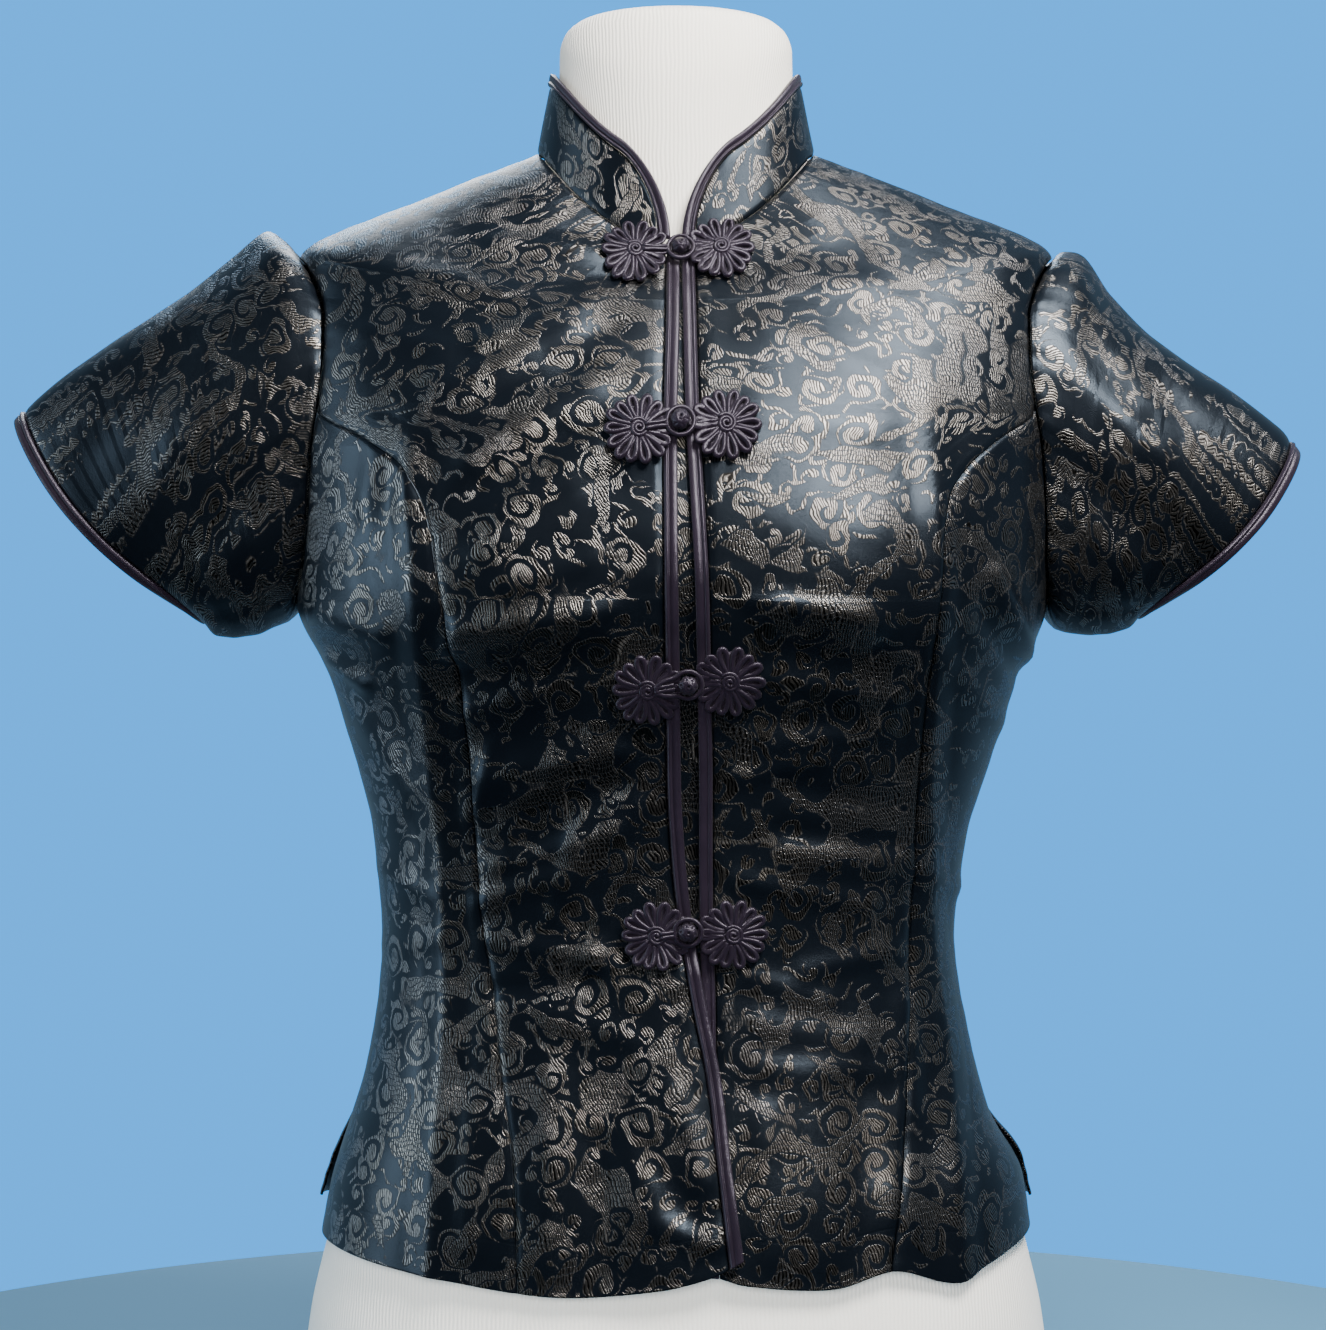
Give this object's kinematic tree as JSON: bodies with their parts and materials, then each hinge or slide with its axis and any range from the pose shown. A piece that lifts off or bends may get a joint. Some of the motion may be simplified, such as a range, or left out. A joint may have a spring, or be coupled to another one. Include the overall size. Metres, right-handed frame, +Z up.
{
  "type": "tang-style blouse on a limbless dress form",
  "caption": "Fitted short-sleeved blouse with a standing collar, bound edges and flower frogs, worn on a plain limbless dress form.",
  "frame": {"origin": "middle of the dress form's flat base", "axes": "+Z up, the blouse's front towards -Y, the wearer's left towards +X"},
  "size_m": [0.6438, 0.2516, 0.727],
  "materials": {
    "brocade": "near-black navy satin ground with bronze-grey woven scrolls",
    "satin_trim": "dark plum satin, pressed",
    "form_cover": "ivory ribbed jersey stretched smooth"
  },
  "bodies": {
    "root": {"front_right": "brocade", "front_left": "brocade", "side_front_right": "brocade", "side_front_left": "brocade", "back": "brocade", "underlap": "brocade", "collar": "brocade", "sleeve_right": "brocade", "sleeve_left": "brocade", "collar_binding": "satin_trim", "front_binding_right": "satin_trim", "front_binding_left": "satin_trim", "cuff_binding_right": "satin_trim", "cuff_binding_left": "satin_trim", "frog_1_loop": "satin_trim", "frog_1_knot": "satin_trim", "frog_2_loop": "satin_trim", "frog_2_knot": "satin_trim", "frog_3_loop": "satin_trim", "frog_3_knot": "satin_trim", "frog_4_loop": "satin_trim", "frog_4_knot": "satin_trim", "form": "form_cover"}
  },
  "joints": []
}
